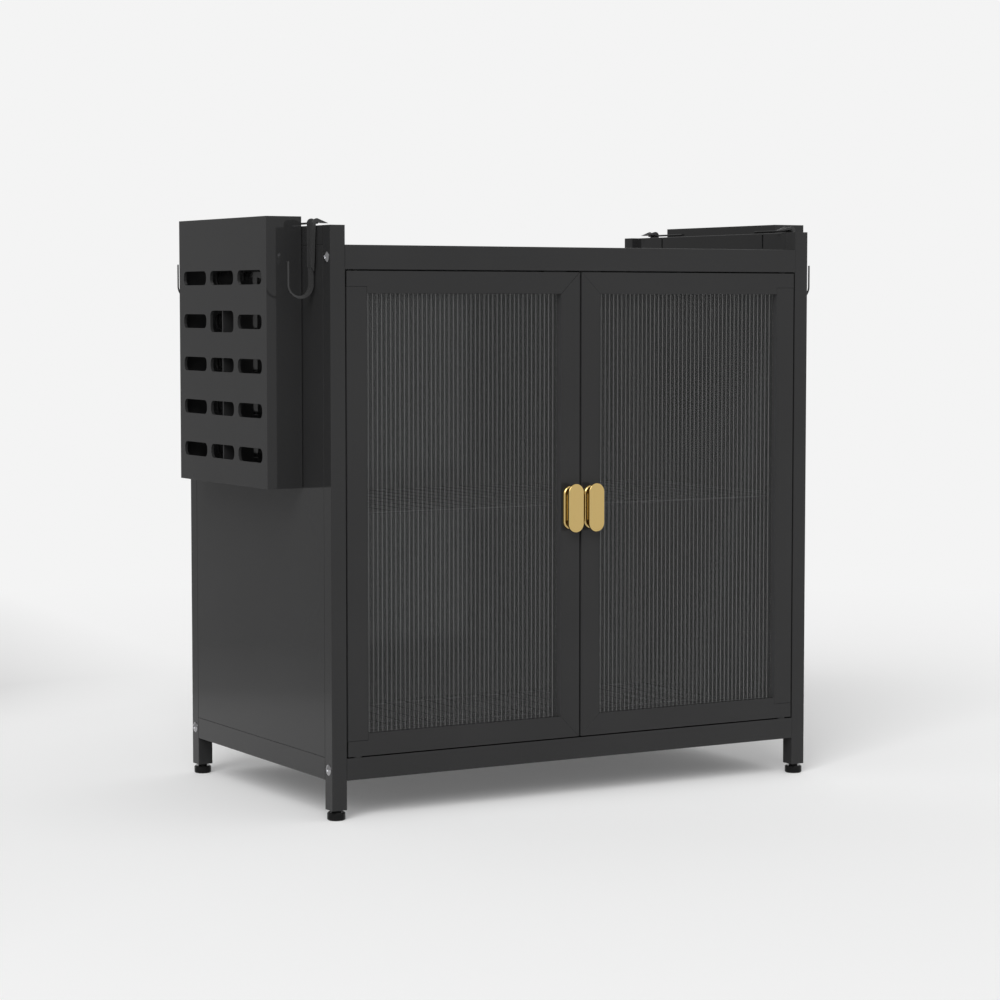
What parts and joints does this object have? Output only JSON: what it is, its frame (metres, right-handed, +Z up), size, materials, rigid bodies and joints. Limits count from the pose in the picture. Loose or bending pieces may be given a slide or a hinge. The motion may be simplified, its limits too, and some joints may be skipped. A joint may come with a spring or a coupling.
{
  "type": "dish drainer cabinet",
  "caption": "Free-standing black steel dish cabinet with a pair of reeded-pane doors, racks over a drip tray and a slotted utensil caddy with hooks on each side.",
  "frame": {"origin": "on the floor, under the middle of the overall width and depth", "axes": "+Z up, +X to the right along the front, the doors face -Y"},
  "size_m": [0.6826, 0.3679, 0.6231],
  "materials": {
    "black_powder_coat": "semi-gloss powder coat",
    "black_gloss_plastic": "smooth gloss",
    "reeded_pane": "clear, reeded",
    "polished_brass": "polished",
    "bright_steel": "bright zinc plating",
    "black_matte_plastic": "matte",
    "black_foot": "smooth hard rubber on a steel stud",
    "coated_wire": "gloss black coating"
  },
  "bodies": {
    "cabinet": {"post_front_right": "black_powder_coat", "post_front_left": "black_powder_coat", "post_back_right": "black_powder_coat", "post_back_left": "black_powder_coat", "front_top_rail": "black_powder_coat", "back_top_rail": "black_powder_coat", "front_bottom_rail": "black_powder_coat", "back_bottom_rail": "black_powder_coat", "side_top_rail_right": "black_powder_coat", "side_top_rail_left": "black_powder_coat", "side_bottom_rail_right": "black_powder_coat", "side_bottom_rail_left": "black_powder_coat", "side_panel_right": "black_powder_coat", "side_panel_left": "black_powder_coat", "top_panel": "black_powder_coat", "bottom_panel": "black_powder_coat", "back_panel": "black_powder_coat", "frame_bolts": "bright_steel", "upper_rack_ledges": "black_powder_coat", "lower_rack_ledges": "black_powder_coat", "door_pivot_washers": "black_matte_plastic", "door_catches": "black_matte_plastic", "drip_tray": "black_gloss_plastic"},
    "upper_rack": {"upper_rack": "coated_wire"},
    "lower_rack": {"lower_rack": "coated_wire"},
    "door_right": {"door_right_hinge_stile": "black_powder_coat", "door_right_meeting_stile": "black_powder_coat", "door_right_bottom_bar": "black_powder_coat", "door_right_top_bar": "black_powder_coat", "door_right_pane": "reeded_pane", "door_right_pane_beads": "black_powder_coat", "door_right_pivots": "black_powder_coat", "door_right_handle": "polished_brass", "door_right_handle_screws": "bright_steel"},
    "door_left": {"door_left_hinge_stile": "black_powder_coat", "door_left_meeting_stile": "black_powder_coat", "door_left_bottom_bar": "black_powder_coat", "door_left_top_bar": "black_powder_coat", "door_left_pane": "reeded_pane", "door_left_pane_beads": "black_powder_coat", "door_left_pivots": "black_powder_coat", "door_left_handle": "polished_brass", "door_left_handle_screws": "bright_steel"},
    "caddy_right": {"caddy_right_shell": "black_gloss_plastic", "caddy_right_back_plate": "black_powder_coat", "caddy_right_divider": "black_gloss_plastic", "caddy_right_hook_rods": "black_powder_coat"},
    "caddy_left": {"caddy_left_shell": "black_gloss_plastic", "caddy_left_back_plate": "black_powder_coat", "caddy_left_divider": "black_gloss_plastic", "caddy_left_hook_rods": "black_powder_coat"},
    "hook_front_right": {"hook_front_right": "black_powder_coat"},
    "hook_back_right": {"hook_back_right": "black_powder_coat"},
    "hook_front_left": {"hook_front_left": "black_powder_coat"},
    "hook_back_left": {"hook_back_left": "black_powder_coat"},
    "foot_front_right": {"foot_front_right": "black_foot"},
    "foot_back_right": {"foot_back_right": "black_foot"},
    "foot_front_left": {"foot_front_left": "black_foot"},
    "foot_back_left": {"foot_back_left": "black_foot"}
  },
  "joints": [
    {"name": "door_right_hinge", "type": "hinge", "parent": "cabinet", "child": "door_right", "pos_m": [0.2693, -0.16509, 0.31605], "axis": [0, 0, 1], "range_deg": [0, 110]},
    {"name": "door_left_hinge", "type": "hinge", "parent": "cabinet", "child": "door_left", "pos_m": [-0.2693, -0.16509, 0.31605], "axis": [0, 0, -1], "range_deg": [0, 110]},
    {"name": "caddy_right_lift", "type": "slide", "parent": "cabinet", "child": "caddy_right", "axis": [0, 0, 1], "range_m": [0, 0.004]},
    {"name": "caddy_left_lift", "type": "slide", "parent": "cabinet", "child": "caddy_left", "axis": [0, 0, 1], "range_m": [0, 0.004]},
    {"name": "hook_front_right_tilt", "type": "hinge", "parent": "caddy_right", "child": "hook_front_right", "pos_m": [0.2999, -0.13415, 0.6156], "axis": [0, -1, 0], "range_deg": [0, 4.5]},
    {"name": "hook_back_right_tilt", "type": "hinge", "parent": "caddy_right", "child": "hook_back_right", "pos_m": [0.2999, 0.14605, 0.6156], "axis": [0, -1, 0], "range_deg": [0, 4.5]},
    {"name": "hook_front_left_tilt", "type": "hinge", "parent": "caddy_left", "child": "hook_front_left", "pos_m": [-0.2999, -0.13415, 0.6156], "axis": [0, 1, 0], "range_deg": [0, 4.5]},
    {"name": "hook_back_left_tilt", "type": "hinge", "parent": "caddy_left", "child": "hook_back_left", "pos_m": [-0.2999, 0.14605, 0.6156], "axis": [0, 1, 0], "range_deg": [0, 4.5]},
    {"name": "upper_rack_lift", "type": "slide", "parent": "cabinet", "child": "upper_rack", "axis": [0, 0, 1], "range_m": [0, 0.04]},
    {"name": "lower_rack_lift", "type": "slide", "parent": "cabinet", "child": "lower_rack", "axis": [0, 0, 1], "range_m": [0, 0.04]},
    {"name": "foot_front_right_screw", "type": "slide", "parent": "cabinet", "child": "foot_front_right", "axis": [0, 0, -1], "range_m": [0, 0.008]},
    {"name": "foot_back_right_screw", "type": "slide", "parent": "cabinet", "child": "foot_back_right", "axis": [0, 0, -1], "range_m": [0, 0.008]},
    {"name": "foot_front_left_screw", "type": "slide", "parent": "cabinet", "child": "foot_front_left", "axis": [0, 0, -1], "range_m": [0, 0.008]},
    {"name": "foot_back_left_screw", "type": "slide", "parent": "cabinet", "child": "foot_back_left", "axis": [0, 0, -1], "range_m": [0, 0.008]}
  ]
}
